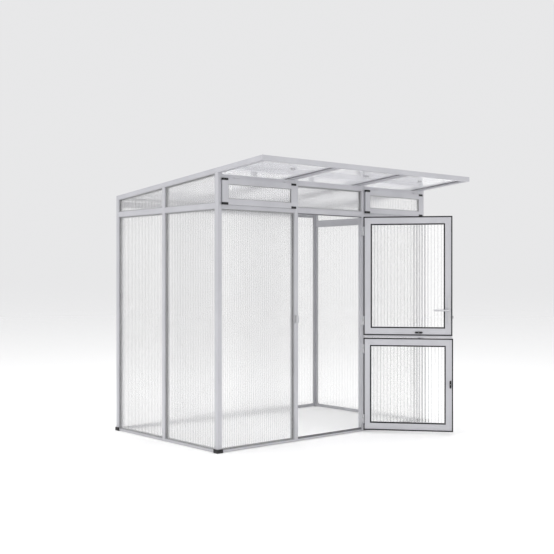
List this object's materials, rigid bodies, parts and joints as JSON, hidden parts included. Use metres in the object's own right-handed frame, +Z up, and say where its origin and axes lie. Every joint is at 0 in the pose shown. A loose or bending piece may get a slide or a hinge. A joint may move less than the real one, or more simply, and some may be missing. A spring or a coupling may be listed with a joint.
{
  "type": "walk-in garden cabin",
  "caption": "Walk-in glazed garden cabin with an aluminium frame, clear fluted sheets, a pent roof with a front overhang, a split stable door and top-hung vents.",
  "frame": {"origin": "centre of the footprint of the four corner posts, on the ground", "axes": "+X to the right seen from the front, +Y to the rear, +Z up; the front wall with the door faces -Y"},
  "size_m": [2.415, 2.1111, 2.228],
  "materials": {
    "anodised_aluminium": "satin anodised",
    "silver": "brushed",
    "steel": "brushed",
    "clear_sheet": "clear fluted twin-wall sheet",
    "black_rubber": "matte",
    "grey_rubber": "matte",
    "black_plastic": "matte moulded"
  },
  "bodies": {
    "cabin": {"foot_pads": "black_plastic", "front_left_post": "anodised_aluminium", "front_right_post": "anodised_aluminium", "rear_left_post": "anodised_aluminium", "rear_right_post": "anodised_aluminium", "door_post_left": "anodised_aluminium", "door_post_right": "anodised_aluminium", "side_posts": "anodised_aluminium", "rear_posts": "anodised_aluminium", "front_base_rails": "anodised_aluminium", "side_base_rails": "anodised_aluminium", "rear_base_rails": "anodised_aluminium", "threshold": "anodised_aluminium", "door_stops": "grey_rubber", "front_transoms": "anodised_aluminium", "side_transoms": "anodised_aluminium", "front_headers": "anodised_aluminium", "rear_headers": "anodised_aluminium", "edge_rafters": "anodised_aluminium", "inner_rafters": "anodised_aluminium", "fascia": "anodised_aluminium", "rear_edge_trim": "anodised_aluminium", "roof_glazing": "clear_sheet", "roof_gaskets": "black_rubber", "front_glazing": "clear_sheet", "left_glazing": "clear_sheet", "right_glazing": "clear_sheet", "rear_glazing": "clear_sheet", "wall_gaskets": "black_rubber", "glazing_beads": "anodised_aluminium", "door_hinge_brackets": "silver", "door_hinge_pins": "silver", "latch_keeper": "silver", "vent_hinge_brackets": "silver"},
    "upper_leaf": {"upper_leaf_frame": "anodised_aluminium", "upper_leaf_glazing": "clear_sheet", "upper_leaf_gasket": "black_rubber", "upper_leaf_seal": "black_rubber", "upper_leaf_hinges": "silver", "meeting_strip": "anodised_aluminium", "handle_plates": "silver", "lock_case": "steel"},
    "lever": {"lever_handles": "silver"},
    "latch": {"latch_bolt": "steel"},
    "upper_catch": {"upper_catch_grip": "black_plastic", "upper_catch_tongue": "silver"},
    "lower_leaf": {"lower_leaf_frame": "anodised_aluminium", "lower_leaf_glazing": "clear_sheet", "lower_leaf_gasket": "black_rubber", "lower_leaf_seal": "black_rubber", "lower_leaf_hinges": "silver"},
    "lower_catch": {"lower_catch": "black_plastic"},
    "left_vent": {"left_vent_frame": "anodised_aluminium", "left_vent_glazing": "clear_sheet", "left_vent_gaskets": "black_rubber", "left_vent_caps": "black_plastic"},
    "right_vent": {"right_vent_frame": "anodised_aluminium", "right_vent_glazing": "clear_sheet", "right_vent_gaskets": "black_rubber", "right_vent_caps": "black_plastic"}
  },
  "joints": [
    {"name": "upper_leaf_hinge", "type": "hinge", "parent": "cabin", "child": "upper_leaf", "pos_m": [0.37733, -0.7523, 1.3535], "axis": [0, 0, 1], "range_deg": [-129.5, 35]},
    {"name": "lower_leaf_hinge", "type": "hinge", "parent": "cabin", "child": "lower_leaf", "pos_m": [0.37733, -0.7523, 0.419], "axis": [0, 0, 1], "range_deg": [-129.5, 35]},
    {"name": "lever_turn", "type": "hinge", "parent": "upper_leaf", "child": "lever", "pos_m": [0.83451, -1.32105, 1.059], "axis": [-0.7716, -0.6361, 0], "range_deg": [0, 40], "stiffness_Nm_per_rad": 0.8, "springref_deg": -20.05},
    {"name": "latch_slide", "type": "slide", "parent": "upper_leaf", "child": "latch", "axis": [-0.6361, 0.7716, 0], "range_m": [0, 0.009]},
    {"name": "upper_catch_turn", "type": "hinge", "parent": "upper_leaf", "child": "upper_catch", "pos_m": [0.66367, -1.12796, 0.867], "axis": [-0.7716, -0.6361, 0], "range_deg": [0, 90]},
    {"name": "lower_catch_turn", "type": "hinge", "parent": "lower_leaf", "child": "lower_catch", "pos_m": [0.83393, -1.33449, 0.43], "axis": [-0.7716, -0.6361, 0], "range_deg": [0, 90]},
    {"name": "left_vent_hinge", "type": "hinge", "parent": "cabin", "child": "left_vent", "pos_m": [-0.78667, -0.7365, 2.1095], "axis": [-1, 0, 0], "range_deg": [0, 40]},
    {"name": "right_vent_hinge", "type": "hinge", "parent": "cabin", "child": "right_vent", "pos_m": [0.78667, -0.7365, 2.1095], "axis": [-1, 0, 0], "range_deg": [0, 40]}
  ],
  "couplings": [
    {"joint": "latch_slide", "follows": "lever_turn", "m_per_rad": 0.0128}
  ]
}
